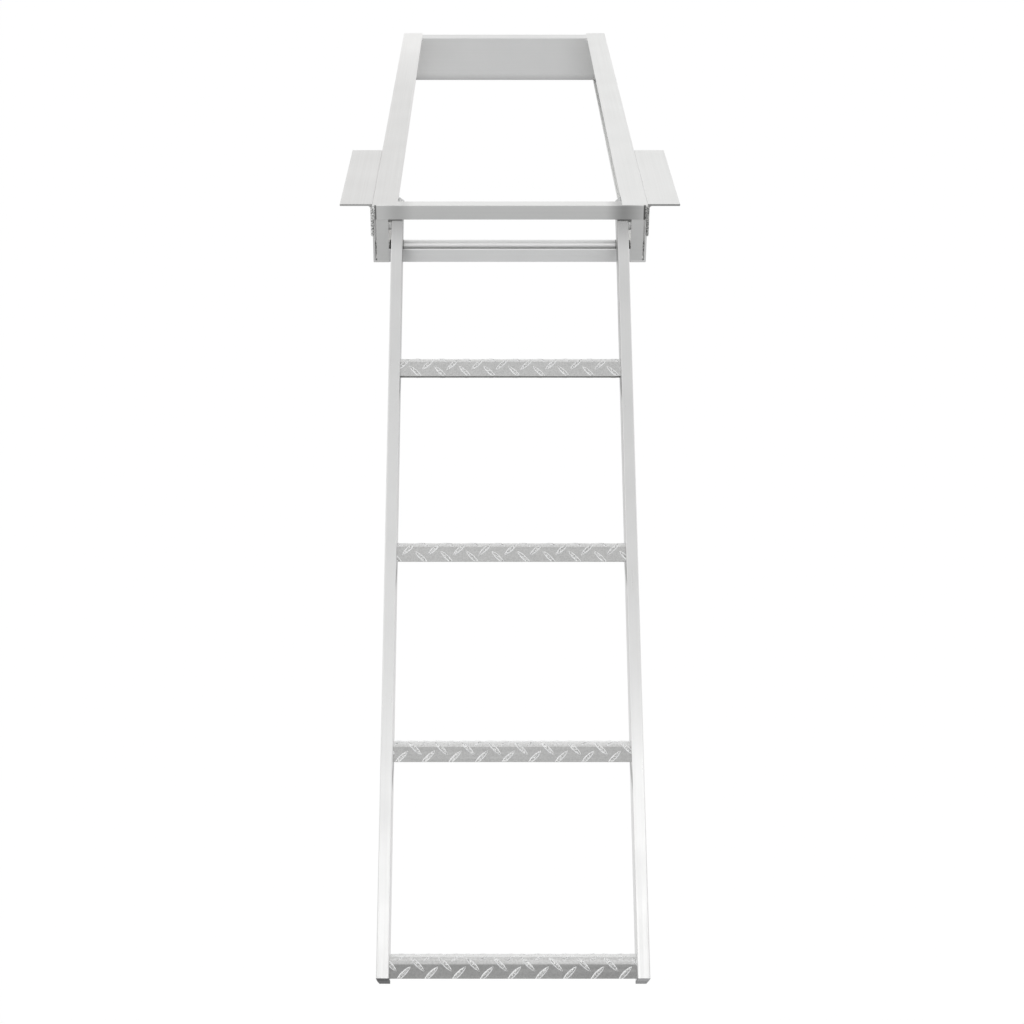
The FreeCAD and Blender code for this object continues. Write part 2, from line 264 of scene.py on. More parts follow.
PLASTIC_NOISE = (900.0, 2.0)
PLASTIC_ROUGHNESS_SPREAD = 0.12
PLASTIC_HEIGHT = 0.0003


def drawn_metal_group() -> Tree:
    """Build the group for drawn aluminium: fine streaks along X of its vector, clouds and specks.

    Returns:
        A group that puts out a colour, a roughness and a normal.
    """
    group = new_group(
        "drawn_metal",
        {
            "Vector": ("NodeSocketVector", None),
            "Colour": ("NodeSocketColor", (0.7, 0.7, 0.7, 1.0)),
            "Roughness": ("NodeSocketFloat", 0.35),
            "Streak Depth": ("NodeSocketFloat", 0.05),
            "Cloud Depth": ("NodeSocketFloat", 0.05),
            "Speck Depth": ("NodeSocketFloat", 0.0),
            "Bump": ("NodeSocketFloat", 0.05),
        },
        {"Colour": "NodeSocketColor", "Roughness": "NodeSocketFloat", "Normal": "NodeSocketVector"},
    )
    given, outputs = group.nodes["inputs"].outputs, group.nodes["outputs"].inputs

    def depth_part(pattern: Socket, label: str) -> Socket:
        """Return how much a pattern adds to or takes from the shade."""
        return math_node(group, "MULTIPLY", math_node(group, "SUBTRACT", pattern, 0.5), given[label])

    stretch = group.nodes.new("ShaderNodeMapping")
    stretch.inputs["Scale"].default_value = STREAK_STRETCH
    link(group, given["Vector"], stretch.inputs["Vector"])
    streaks = noise(group, stretch.outputs["Vector"], *STREAK_NOISE)
    clouds = noise(group, given["Vector"], *CLOUD_NOISE)
    specks = smooth_range(group, noise(group, given["Vector"], *SPECK_NOISE), *SPECK_LIMITS)
    broad_part = math_node(group, "ADD", depth_part(streaks, "Streak Depth"),
                           depth_part(clouds, "Cloud Depth"))
    all_parts = math_node(group, "ADD", broad_part, depth_part(specks, "Speck Depth"))
    shade = math_node(group, "ADD", 1.0, all_parts)
    link(group, scaled_colour(group, given["Colour"], shade), outputs["Colour"])
    rough_part = math_node(group, "MULTIPLY", math_node(group, "SUBTRACT", clouds, streaks), ROUGHNESS_SPREAD)
    link(group, math_node(group, "ADD", given["Roughness"], rough_part), outputs["Roughness"])
    link(group, relief(group, streaks, given["Bump"], STREAK_HEIGHT), outputs["Normal"])
    return group


def painted_light_group() -> Tree:
    """Build the group that paints shade near one level of a coordinate, or a highlight if the depth is
    negative.

    Returns:
        A group that puts out the colour, with shade painted near the level, and how near the surface is.
    """
    group = new_group(
        "painted_light_near",
        {
            "Colour": ("NodeSocketColor", (0.7, 0.7, 0.7, 1.0)),
            "Coordinate": ("NodeSocketFloat", 0.0),
            "Level": ("NodeSocketFloat", 0.0),
            "Reach": ("NodeSocketFloat", 0.02),
            "Softness": ("NodeSocketFloat", 1.0),
            "Depth": ("NodeSocketFloat", 0.3),
            "Mask": ("NodeSocketFloat", 1.0),
        },
        {"Colour": "NodeSocketColor", "Near": "NodeSocketFloat"},
    )
    given, outputs = group.nodes["inputs"].outputs, group.nodes["outputs"].inputs
    away = math_node(group, "ABSOLUTE", math_node(group, "SUBTRACT", given["Coordinate"], given["Level"]))
    inside = math_node(group, "SUBTRACT", 1.0, math_node(group, "DIVIDE", away, given["Reach"]))
    near = smooth_range(group, math_node(group, "DIVIDE", inside, given["Softness"]), 0.0, 1.0)
    near = math_node(group, "MULTIPLY", near, given["Mask"])
    link(group, near, outputs["Near"])
    keep = math_node(group, "SUBTRACT", 1.0, math_node(group, "MULTIPLY", near, given["Depth"]))
    link(group, scaled_colour(group, given["Colour"], keep), outputs["Colour"])
    return group


class Finishes:
    """Builds the materials, which share two node groups."""

    def __init__(self) -> None:
        self.drawn = drawn_metal_group()
        self.painted_light = painted_light_group()

    def turned_vector(self, tree: Tree, finish: MetalFinish) -> Socket:
        """Return object coordinates turned so that the grain runs along X."""
        coordinates = tree.nodes.new("ShaderNodeTexCoord")
        slope = tree.nodes.new("ShaderNodeMapping")
        slope.inputs["Rotation"].default_value = (-math.radians(finish.slope_deg), 0.0, 0.0)
        turn = tree.nodes.new("ShaderNodeMapping")
        turn.inputs["Rotation"].default_value = finish.grain.value
        link(tree, coordinates.outputs["Object"], slope.inputs["Vector"])
        link(tree, slope.outputs["Vector"], turn.inputs["Vector"])
        return turn.outputs["Vector"]

    def band_node(self, tree: Tree, band: PaintedLightBand) -> bpy.types.Node:
        """Add one band's group node, measured by its own coordinate."""
        node = tree.nodes.new("ShaderNodeGroup")
        node.node_tree = self.painted_light
        link(tree, coordinate(tree, band.measure.value, band.axis), node.inputs["Coordinate"])
        node.inputs["Level"].default_value = band.level
        node.inputs["Reach"].default_value = band.reach
        node.inputs["Softness"].default_value = band.softness
        node.inputs["Depth"].default_value = band.depth
        return node

    def banded(self, tree: Tree, colour: Socket, bands: tuple[PaintedLightBand, ...]) -> Socket:
        """Paint shade or a highlight into a colour in each band.

        Args:
            tree: The material's tree.
            colour: The colour to change.
            bands: The bands.

        Returns:
            The changed colour.
        """
        for band in bands:
            node = self.band_node(tree, band)
            link(tree, colour, node.inputs["Colour"])
            if band.within is not None:
                link(tree, self.band_node(tree, band.within).outputs["Near"], node.inputs["Mask"])
            colour = node.outputs["Colour"]
        return colour

    def metal(self, finish: MetalFinish) -> bpy.types.Material:
        """Build the material of an aluminium finish.

        Args:
            finish: Its colour, roughness, grain and bands.

        Returns:
            The material.
        """
        material = bpy.data.materials.new(finish.name)
        material.use_nodes = True
        tree = material.node_tree
        shader = tree.nodes["Principled BSDF"]
        shader.inputs["Metallic"].default_value = finish.metallic
        shader.inputs["IOR"].default_value = FILM_IOR
        drawn = tree.nodes.new("ShaderNodeGroup")
        drawn.node_tree = self.drawn
        drawn.inputs["Colour"].default_value = (*finish.colour, 1.0)
        drawn.inputs["Roughness"].default_value = finish.roughness
        drawn.inputs["Streak Depth"].default_value = finish.streak_depth
        drawn.inputs["Cloud Depth"].default_value = finish.cloud_depth
        drawn.inputs["Speck Depth"].default_value = finish.speck_depth
        drawn.inputs["Bump"].default_value = finish.bump
        link(tree, self.turned_vector(tree, finish), drawn.inputs["Vector"])
        colour = self.banded(tree, drawn.outputs["Colour"], finish.bands)
        link(tree, colour, shader.inputs["Base Color"])
        link(tree, drawn.outputs["Roughness"], shader.inputs["Roughness"])
        link(tree, drawn.outputs["Normal"], shader.inputs["Normal"])
        return material

    def plastic(self, finish: PlasticFinish) -> bpy.types.Material:
        """Build the material of a moulded plastic finish."""
        material = bpy.data.materials.new(finish.name)
        material.use_nodes = True
        tree = material.node_tree
        shader = tree.nodes["Principled BSDF"]
        shader.inputs["Base Color"].default_value = (*finish.colour, 1.0)
        coordinates = tree.nodes.new("ShaderNodeTexCoord")
        grains = noise(tree, coordinates.outputs["Object"], *PLASTIC_NOISE)
        spread = math_node(tree, "MULTIPLY", grains, PLASTIC_ROUGHNESS_SPREAD)
        link(tree, math_node(tree, "ADD", finish.roughness, spread), shader.inputs["Roughness"])
        link(tree, relief(tree, grains, finish.bump, PLASTIC_HEIGHT), shader.inputs["Normal"])
        return material


def dress(node: str, material: bpy.types.Material) -> None:
    """Give a CAD node one material."""
    mesh = frame["nodes"][node].data
    mesh.materials.clear()
    mesh.materials.append(material)
    for polygon in mesh.polygons:
        polygon.material_index = 0


def finish_piece(shape: bmesh.types.BMesh, name: str, body: Body,
                 material: bpy.types.Material) -> bpy.types.Object:
    """Turn a bmesh into a smooth piece that rides a body.

    Args:
        shape: The finished shape, in the row frame and in metres. It is freed.
        name: The piece's name.
        body: The body that it rides.
        material: Its material.

    Returns:
        The new object.
    """
    bmesh.ops.recalc_face_normals(shape, faces=shape.faces)
    for face in shape.faces:
        face.smooth = True
    mesh = bpy.data.meshes.new(name)
    shape.to_mesh(mesh)
    shape.free()
    mesh.materials.append(material)
    piece = bpy.data.objects.new(name, mesh)
    bpy.context.scene.collection.objects.link(piece)
    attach(piece, body.value)
    LOG.info("%s: %d faces on %s", name, len(mesh.polygons), body.value)
    return piece


class Stamp:
    """A small closed shape that is made once and pressed many times into a growing mesh."""

    def __init__(self, name: str, shape: bmesh.types.BMesh) -> None:
        self.mesh = bpy.data.meshes.new(name)
        shape.to_mesh(self.mesh)
        shape.free()

    def press(self, target: bmesh.types.BMesh, place: Matrix) -> None:
        """Add one copy of the shape to the target, at a place of its own."""
        copy = self.mesh.copy()
        copy.transform(place)
        target.from_mesh(copy)
        bpy.data.meshes.remove(copy)

    def discard(self) -> None:
        """Remove the shape, once its copies are made."""
        bpy.data.meshes.remove(self.mesh)


@dataclass
class LadderAxes:
    """The ladder's own axes: X across, Y up its slope, Z out of its front, from the rod's centre."""

    slope_deg: float = SLOPE_DEG
    pivot: Vector = field(default_factory=lambda: Vector(frame["joints"][0]["pos_m"]))

    def to_row(self) -> Matrix:
        """Return the matrix from the ladder's axes to the row frame."""
        return Matrix.Translation(self.pivot) @ Matrix.Rotation(math.radians(self.slope_deg), 4, "X")


@dataclass
class TreadPattern:
    """Raised leaf-shaped marks pressed into each tread's plate, wrapped over its two bends.

    The lengths of the plate are those of its solid. Of a mark, the powers draw in its sides and
    points, fullness swells it, foot_share is where it is cut off, and back_share is the share of
    its height above which a face belongs to its back.
    """

    axes: LadderAxes
    half_length: float = 172.0 * MM
    first_top: float = 222.6 * MM
    spacing: float = 304.8 * MM
    front_level: float = 44.8 * MM
    depth: float = 34.0 * MM
    tilt_deg: float = 16.0
    front_wall: float = 29.0 * MM
    rear_wall: float = 27.0 * MM
    bend: float = 6.5 * MM
    pitch: float = 38.4 * MM
    row_step: float = 13.4 * MM
    first_row: float = 6.4 * MM
    mark: Triple = (29.0 * MM, 9.0 * MM, 0.65 * MM)
    foot: float = 0.4 * MM
    facets: int = 8
    side_power: float = 2.7
    point_power: float = 1.5
    fullness: float = 1.3
    foot_share: float = 0.1
    pole: float = 0.01
    back_share: float = 0.3
    sharp_deg: float = 35.0
    lean_deg: float = 45.0
    phases: tuple[float, ...] = (6.3 * MM, 18.7 * MM, -6.4 * MM, 1.2 * MM)
    turned: tuple[bool, ...] = (False, False, True, True)

    def strips(self) -> list[tuple[float, float]]:
        """Return the unrolled section as lengths and turns: front wall, bend, top, bend, rear wall."""
        tilt = math.radians(self.tilt_deg)
        turns = (math.pi / 2 - tilt, math.pi / 2 + tilt)
        setbacks = [self.bend * math.tan(turn / 2) for turn in turns]
        top = self.depth / math.cos(tilt) - sum(setbacks)
        return [(self.front_wall - setbacks[0], 0.0), (self.bend * turns[0], turns[0]), (top, 0.0),
                (self.bend * turns[1], turns[1]), (self.rear_wall - setbacks[1], 0.0)]

    def wrap(self, point: Vector, top: float) -> Vector:
        """Lay a point of the flat sheet onto the bent tread.

        Args:
            point: X across, Y up the sheet from the front wall's lower edge, Z out of the sheet.
            top: The front corner of the tread's top along the ladder's Y.

        Returns:
            The point in the ladder's axes.
        """
        strips = self.strips()
        place = Vector((top - self.front_wall, self.front_level))
        heading, left = 0.0, point.y
        for number, (length, turn) in enumerate(strips, start=1):
            step = left if number == len(strips) else min(left, length)
            if turn:
                out = Vector((math.sin(heading), math.cos(heading)))
                heading += step / self.bend
                turned = Vector((math.sin(heading), math.cos(heading)))
                place += (turned - out) * self.bend
            else:
                place += Vector((math.cos(heading), -math.sin(heading))) * step
            left -= step
            if left <= 0.0:
                break
        place += Vector((math.sin(heading), math.cos(heading))) * point.z
        return Vector((point.x, place.x, place.y))

    def top_place(self, number: int) -> float:
        """Return the front corner of a tread's top along the ladder's Y."""
        return -(self.first_top + (number - 1) * self.spacing)

    def front_edge(self, number: int) -> float:
        """Return the row frame's Z where a tread's front wall meets its bend."""
        flat_wall = self.strips()[0][0]
        place = Vector((0.0, self.top_place(number) + flat_wall - self.front_wall, self.front_level))
        return (self.axes.to_row() @ place).z

    def mark_stamp(self) -> Stamp:
        """Make one mark that lies along X: a pointed leaf with steep sides and a flat back."""
        length, width, height = self.mark
        shape = bmesh.new()
        bmesh.ops.create_uvsphere(shape, u_segments=self.facets, v_segments=self.facets, radius=1.0,
                                  matrix=Matrix.Rotation(math.pi / 2, 4, "Y"))
        for vertex in shape.verts:
            reach = math.hypot(vertex.co.y, vertex.co.z)
            across = vertex.co.y / reach if reach > self.pole else 0.0
            up = vertex.co.z / reach if reach > self.pole else -1.0
            side = math.copysign(abs(across) ** self.side_power, across)
            rise = -self.foot
            if up > self.foot_share:
                rise = height * min(1.0, self.fullness * reach) * min(1.0, self.fullness * up)
            inset = side * width / 2 * reach ** self.point_power
            vertex.co = Vector((vertex.co.x * length / 2, inset, rise))
        for face in shape.faces:
            level = min(vertex.co.z for vertex in face.verts)
            face.material_index = 0 if level > self.back_share * height else 1
        return Stamp("mark", shape)

    def trim(self, sheet: bmesh.types.BMesh) -> None:
        """Cut the flat sheet's marks at its four edges and close the cuts."""
        total = sum(length for length, _ in self.strips())
        edges = (((self.half_length, 0, 0), (1, 0, 0)), ((-self.half_length, 0, 0), (-1, 0, 0)),
                 ((0, 0, 0), (0, -1, 0)), ((0, total, 0), (0, 1, 0)))
        for place, normal in edges:
            geometry = sheet.verts[:] + sheet.edges[:] + sheet.faces[:]
            cut = bmesh.ops.bisect_plane(sheet, geom=geometry, plane_co=place, plane_no=normal,
                                         clear_outer=True)
            rim = [item for item in cut["geom_cut"] if isinstance(item, bmesh.types.BMEdge)]
            bmesh.ops.holes_fill(sheet, edges=rim, sides=0)

    def build(self, number: int, backs: bpy.types.Material, sides: bpy.types.Material) -> bpy.types.Object:
        """Build the pattern of one tread.

        Args:
            number: The tread, counted from 1 at the top.
            backs: The material of the marks' flat backs.
            sides: The material of their sides, painted bright as a highlight.

        Returns:
            The pattern as one piece.
        """
        sheet = bmesh.new()
        mark = self.mark_stamp()
        columns = math.ceil(self.half_length / self.pitch) + 1
        rows = math.ceil(sum(length for length, _ in self.strips()) / self.row_step) + 1
        for row in range(rows):
            odd = row % 2 == 1
            lean = math.radians(self.lean_deg if odd != self.turned[number - 1] else -self.lean_deg)
            start = self.phases[number - 1] + (self.pitch / 2 if odd else 0.0)
            turn = Matrix.Rotation(lean, 4, "Z")
            for column in range(-columns, columns + 1):
                place = (start + column * self.pitch, self.first_row + row * self.row_step, 0.0)
                mark.press(sheet, Matrix.Translation(place) @ turn)
        mark.discard()
        self.trim(sheet)
        top = self.top_place(number)
        for vertex in sheet.verts:
            vertex.co = self.wrap(vertex.co, top)
        bmesh.ops.transform(sheet, matrix=self.axes.to_row(), verts=sheet.verts)
        piece = finish_piece(sheet, "tread_%d_pattern" % number, Body.LADDER, backs)
        piece.data.materials.append(sides)
        piece.data.set_sharp_from_angle(angle=math.radians(self.sharp_deg))
        return piece


@dataclass(frozen=True)
class BeadRun:
    """One bead of the right side, in millimetres: where it starts and ends, and its mean radius."""

    start: Triple
    end: Triple
    radius: float

    def ends(self, side: int) -> tuple[Vector, Vector]:
        """Return the two ends in metres, on the left side if side is -1."""
        start, end = (Vector((side * x * MM, y * MM, z * MM)) for x, y, z in (self.start, self.end))
        return start, end


# Half widths of the frame in millimetres: over the webs, inside them, and to the flanges' edges.
OVER_WEBS = 220.75
IN_WEBS = 217.55
TOP_TOE = 179.75
BOTTOM_TOE = 195.35
ANGLE_WELDS = (12.0, 149.0, 286.0)
HALF_ANGLE_WELD = 16.0

FRAME_RUNS = (
    # Behind the upper bar, where it meets the top flange: a bead and a lump beside it.
    BeadRun((TOP_TOE - 1.6, 14.4, -4.6), (TOP_TOE - 1.6, 34.0, -4.6), 3.7),
    BeadRun((TOP_TOE - 6.2, 14.2, -4.2), (TOP_TOE - 6.0, 25.0, -4.6), 3.4),
    # The crossmember on the web and on the top flange.
    BeadRun((IN_WEBS - 0.8, 1186.6, -6.0), (IN_WEBS - 0.8, 1186.6, -88.0), 2.4),
    BeadRun((TOP_TOE - 0.5, 1186.8, -3.4), (TOP_TOE - 0.5, 1194.0, -3.6), 2.2),
    # The stop bar's inner edge, its foot and its head.
    BeadRun((BOTTOM_TOE - 0.4, -4.0, -90.0), (BOTTOM_TOE - 0.4, -4.0, -76.0), 1.9),
    BeadRun((BOTTOM_TOE + 2.0, -2.6, -92.2), (IN_WEBS - 3.0, -2.6, -92.2), 1.9),
    BeadRun((BOTTOM_TOE + 2.0, -2.6, -3.8), (IN_WEBS - 3.0, -2.6, -3.8), 1.9),
    # Below the mounting angle, along the web.
    *(BeadRun((OVER_WEBS + 0.8, middle - HALF_ANGLE_WELD, -51.2),
              (OVER_WEBS + 0.8, middle + HALF_ANGLE_WELD, -51.2), 2.2) for middle in ANGLE_WELDS),
)
ANGLE_RUNS = (
    # The mounting angle's front end, on the web and round the upper bar's end.
    BeadRun((OVER_WEBS + 0.6, -6.4, -4.6), (OVER_WEBS + 0.6, -6.4, -23.0), 1.9),
    BeadRun((OVER_WEBS - 2.4, -10.2, -4.4), (OVER_WEBS - 2.2, -10.2, -21.0), 2.2),
    BeadRun((OVER_WEBS + 0.2, -8.6, -24.0), (OVER_WEBS + 0.2, -8.6, -49.0), 2.1),
)


@dataclass
class WeldBeads:
    """Rippled beads where the frame and the treads are welded.

    A bead swells at each ripple and, slowly, along its wave. It tapers to the tip's share at its
    ends. The gaps say how far the treads' beads stand off the plate that they are laid on.
    """

    axes: LadderAxes
    material: bpy.types.Material
    facets: int = 10
    ripple: float = 0.75
    ripple_height: float = 0.14
    wave: float = 7.3
    wave_height: float = 0.05
    tip: float = 0.12
    ring_steps: int = 12
    ring_radius: float = 7.0 * MM
    ring_bead: float = 1.7 * MM
    ring_gap: float = 0.4 * MM
    plate: float = 2.5 * MM
    top_bead: float = 2.2 * MM
    wall_bead: float = 1.8 * MM
    top_gap: float = 0.8 * MM
    wall_gap: float = 0.6 * MM
    side_gap: float = 0.5 * MM

    def bead(self, beads: bmesh.types.BMesh, start: Vector, end: Vector, radius: float) -> None:
        """Lay one rippled bead with rounded ends from start to end.

        Args:
            beads: The mesh that takes the bead.
            start: Where the bead begins.
            end: Where it ends.
            radius: Its mean radius.
        """
        way = end - start
        half = way.length / 2 + radius
        ripples = max(2, round(way.length / (radius * self.ripple)))
        shape = bmesh.new()
        bmesh.ops.create_cone(shape, cap_ends=True, segments=self.facets, radius1=radius, radius2=radius,
                              depth=2 * half)
        along = [edge for edge in shape.edges if abs(edge.verts[0].co.z - edge.verts[1].co.z) > half]
        bmesh.ops.subdivide_edges(shape, edges=along, cuts=4 * ripples - 1)
        for vertex in shape.verts:
            place = vertex.co.z / half
            rippled = self.ripple_height * abs(math.sin(math.pi * ripples * place))
            swell = 1.0 + rippled + self.wave_height * math.sin(self.wave * place)
            past_end = max(0.0, abs(vertex.co.z) - half + radius)
            taper = max(self.tip, 1.0 - past_end ** 2 / radius ** 2) ** 0.5
            vertex.co.x *= swell * taper
            vertex.co.y *= swell * taper
        turn = way.to_track_quat("Z", "Y").to_matrix().to_4x4()
        stamp = Stamp("bead", shape)
        stamp.press(beads, Matrix.Translation((start + end) / 2) @ turn)
        stamp.discard()

    def lay(self, beads: bmesh.types.BMesh, runs: Iterable[BeadRun], side: int) -> None:
        """Lay a list of beads on one side."""
        for run in runs:
            self.bead(beads, *run.ends(side), run.radius * MM)

    def rod_ring(self, beads: bmesh.types.BMesh, side: int) -> None:
        """Lay a ring bead where the rod's turned end meets the rail's web."""
        centre = self.axes.pivot + Vector((side * (IN_WEBS * MM - self.ring_gap), 0.0, 0.0))
        turns = [2 * math.pi * step / self.ring_steps for step in range(self.ring_steps)]
        points = [centre + Vector((0.0, math.cos(turn), math.sin(turn))) * self.ring_radius for turn in turns]
        for start, end in zip(points, points[1:] + points[:1]):
            self.bead(beads, start, end, self.ring_bead)

    def build_frame(self) -> bpy.types.Object:
        """Build every bead of the frame as one piece."""
        beads = bmesh.new()
        for side in (-1, 1):
            self.lay(beads, FRAME_RUNS, side)
            self.rod_ring(beads, side)
        return finish_piece(beads, "frame_weld_beads", Body.FRAME, self.material)

    def build_angle(self, name: str, side: int, material: bpy.types.Material) -> bpy.types.Object:
        """Build every bead of one mounting angle as one piece, in its own sooty metal."""
        beads = bmesh.new()
        self.lay(beads, ANGLE_RUNS, side)
        return finish_piece(beads, name + "_angle_weld_beads", Body.FRAME, material)

    def build_treads(self, pattern: TreadPattern) -> bpy.types.Object:
        """Build the beads under each tread, where it meets the two stringers."""
        beads = bmesh.new()
        tilt = math.radians(pattern.tilt_deg)
        rise = math.tan(tilt)
        inset, reach = 2 * pattern.bend, pattern.depth - 2 * pattern.bend
        inner = pattern.front_level - self.plate - self.wall_gap
        for number in range(1, TREAD_COUNT + 1):
            under = pattern.top_place(number) - self.plate / math.cos(tilt) - self.top_gap
            for side in (-1, 1):
                x = side * (pattern.half_length - self.side_gap)
                near = Vector((x, under + inset * rise, pattern.front_level - inset))
                far = Vector((x, under + reach * rise, pattern.front_level - reach))
                self.bead(beads, near, far, self.top_bead)
                high = Vector((x, under - pattern.bend, inner))
                low = Vector((x, under - pattern.front_wall + 3 * self.plate, inner))
                self.bead(beads, high, low, self.wall_bead)
        bmesh.ops.transform(beads, matrix=self.axes.to_row(), verts=beads.verts)
        return finish_piece(beads, "tread_weld_beads", Body.LADDER, self.material)


@dataclass(frozen=True)
class Lamp:
    """One soft square lamp, in metres and watts."""

    name: str
    place: Triple
    size: float
    watts: float


@dataclass
class Studio:
    """A white studio with plain soft lamps and the photograph's camera.

    The metal mirrors a room that is softer overhead, low in front and on the floor before the
    ladder. Each of those has its drop or its strength, and the two ends of its soft edge.
    """

    focal_px: float = 1850.0
    pitch_deg: float = 26.82
    eye: Triple = (-0.0329, -2.8693, 0.8966)
    principal_x: float = 489.4
    far_clip: float = 200.0
    floor_level: float = -1.7
    floor_size: float = 60.0
    floor_colour: Triple = (0.62, 0.62, 0.62)
    floor_roughness: float = 0.9
    floor_glow: float = 1.04
    floor_seen: float = 0.94
    floor_mirrored: float = 0.22
    backdrop_mirrored: float = 0.92
    backdrop_edge: tuple[float, float] = (-1.5, 1.0)
    overhead_drop: float = 0.3
    overhead_edge: tuple[float, float] = (0.2, 0.8)
    room_drop: float = 0.4
    room_front_edge: tuple[float, float] = (0.2, 0.8)
    room_low_edge: tuple[float, float] = (0.75, 0.45)
    world_colour: Triple = (0.84, 0.85, 0.86)
    world_light: float = 0.75
    lamps: tuple[Lamp, ...] = (Lamp("front", (0.1, -3.0, 1.9), 1.6, 8.0),
                               Lamp("key", (-2.2, -1.6, 3.0), 2.4, 10.0),
                               Lamp("fill", (2.6, -1.0, 2.0), 2.0, 5.0))
    lamps_aim: Triple = (0.0, -0.1, -0.3)

    def camera(self) -> bpy.types.Object:
        """Place the camera that the photograph was taken with."""
        data = bpy.data.cameras.new("photo_camera")
        data.sensor_width = SENSOR_MM
        data.lens = self.focal_px * SENSOR_MM / PHOTO_PIXELS
        data.shift_x = 0.5 - self.principal_x / PHOTO_PIXELS
        data.clip_end = self.far_clip
        camera = bpy.data.objects.new("photo_camera", data)
        camera.location = self.eye
        camera.rotation_euler = Euler((math.radians(90.0 - self.pitch_deg), 0.0, 0.0))
        bpy.context.scene.collection.objects.link(camera)
        bpy.context.scene.camera = camera
        return camera

    def mirror_ray(self, tree: Tree, path: bpy.types.Node) -> Socket:
        """Return 1 for a ray that comes off or through a surface, and 0 for any other."""
        return math_node(tree, "MAXIMUM", path.outputs["Is Glossy Ray"], path.outputs["Is Transmission Ray"])

    def mirrored_strength(self, tree: Tree) -> Socket:
        """Return how bright the studio looks in the metal: softer overhead, and low in front."""
        height = coordinate(tree, "Generated", "Z")
        overhead = smooth_range(tree, height, *self.overhead_edge)
        forward = math_node(tree, "MULTIPLY", coordinate(tree, "Generated", "Y"), -1.0)
        front = smooth_range(tree, forward, *self.room_front_edge)
        room = math_node(tree, "MULTIPLY", front, smooth_range(tree, height, *self.room_low_edge))
        dimmer = math_node(tree, "ADD", math_node(tree, "MULTIPLY", overhead, self.overhead_drop),
                           math_node(tree, "MULTIPLY", room, self.room_drop))
        return math_node(tree, "SUBTRACT", 1.0, dimmer)

    def world(self) -> None:
        """Light the studio evenly, and show white behind the object and in its metal."""
        world = bpy.data.worlds.new("studio")
        bpy.context.scene.world = world
        world.use_nodes = True
        tree = world.node_tree
        shade = tree.nodes["Background"]
        shade.inputs["Color"].default_value = (*self.world_colour, 1.0)
        shade.inputs["Strength"].default_value = self.world_light
        mirrored, white = (tree.nodes.new("ShaderNodeBackground") for _ in range(2))
        for background in (mirrored, white):
            background.inputs["Color"].default_value = (1.0, 1.0, 1.0, 1.0)
        link(tree, self.mirrored_strength(tree), mirrored.inputs["Strength"])
        path = tree.nodes.new("ShaderNodeLightPath")
        unseen = mixed_shaders(tree, self.mirror_ray(tree, path), shade.outputs[0], mirrored.outputs[0])
        seen = mixed_shaders(tree, path.outputs["Is Camera Ray"], unseen, white.outputs[0])
        link(tree, seen, tree.nodes["World Output"].inputs["Surface"])

    def floor_paint(self) -> bpy.types.Material:
        """Make the floor's matt paint, which glows towards the camera and in the metal."""
        material = bpy.data.materials.new("floor_paint")
        material.use_nodes = True
        tree = material.node_tree
        paint = tree.nodes["Principled BSDF"]
        paint.inputs["Base Color"].default_value = (*self.floor_colour, 1.0)
        paint.inputs["Roughness"].default_value = self.floor_roughness
        glow = tree.nodes.new("ShaderNodeEmission")
        glow.inputs["Strength"].default_value = self.floor_glow
        path = tree.nodes.new("ShaderNodeLightPath")
        backdrop = smooth_range(tree, coordinate(tree, "Object", "Y"), *self.backdrop_edge)
        behind = math_node(tree, "MULTIPLY", backdrop, self.backdrop_mirrored - self.floor_mirrored)
        mirrored = math_node(tree, "MULTIPLY", math_node(tree, "ADD", behind, self.floor_mirrored),
                             self.mirror_ray(tree, path))
        seen = math_node(tree, "MULTIPLY", path.outputs["Is Camera Ray"], self.floor_seen)
        surface = mixed_shaders(tree, math_node(tree, "MAXIMUM", seen, mirrored), paint.outputs[0],
                                glow.outputs[0])
        link(tree, surface, tree.nodes["Material Output"].inputs["Surface"])
        return material

    def floor(self) -> bpy.types.Object:
        """Lay the pale floor, well below the ladder."""
        shape = bmesh.new()
        bmesh.ops.create_grid(shape, x_segments=1, y_segments=1, size=self.floor_size,
                              matrix=Matrix.Translation((0.0, 0.0, self.floor_level)))
        mesh = bpy.data.meshes.new("floor")
        shape.to_mesh(mesh)
        shape.free()
        mesh.materials.append(self.floor_paint())
        floor = bpy.data.objects.new("floor", mesh)
        bpy.context.scene.collection.objects.link(floor)
        return floor

    def hang(self, lamp: Lamp) -> bpy.types.Object:
        """Hang one lamp that points at the ladder's middle."""
        data = bpy.data.lights.new(lamp.name, "AREA")
        data.shape = "SQUARE"
        data.size = lamp.size
        data.energy = lamp.watts
        light = bpy.data.objects.new(lamp.name, data)
        light.location = lamp.place
        aim = Vector(self.lamps_aim) - Vector(lamp.place)
        light.rotation_euler = aim.to_track_quat("-Z", "Y").to_euler()
        bpy.context.scene.collection.objects.link(light)
        return light

    def build(self) -> None:
        """Set up the whole studio."""
        self.camera()
        self.world()
        self.floor()
        for lamp in self.lamps:
            self.hang(lamp)
        bpy.context.scene.view_settings.view_transform = "Standard"


BRIGHT = (0.96, 0.96, 0.955)
# The painted shadow line on the upper bar, above each stop bar's outer edge, in metres.
STOP_EDGE = 0.2155
STOP_SHADOW_LINE = 0.0022


def grey(tone: float, warmth: float = 0.99) -> Triple:
    """Return a grey whose blue is the warmth's share of its tone."""
    return tone, tone, tone * warmth


@dataclass(frozen=True)
class SideLook:
    """What differs between the two sides: painted light and shade, and the angles' weld bead tone."""

    name: str
    side: int
    rail: Triple
    far_highlight_gain: float
    angle_end_shade: float
    angle_weld: float
    stringer_highlight_gain: float
    cap: float

    @property
    def inward(self) -> float:
        """The way along X that points into the frame from this side."""
        return -float(self.side)
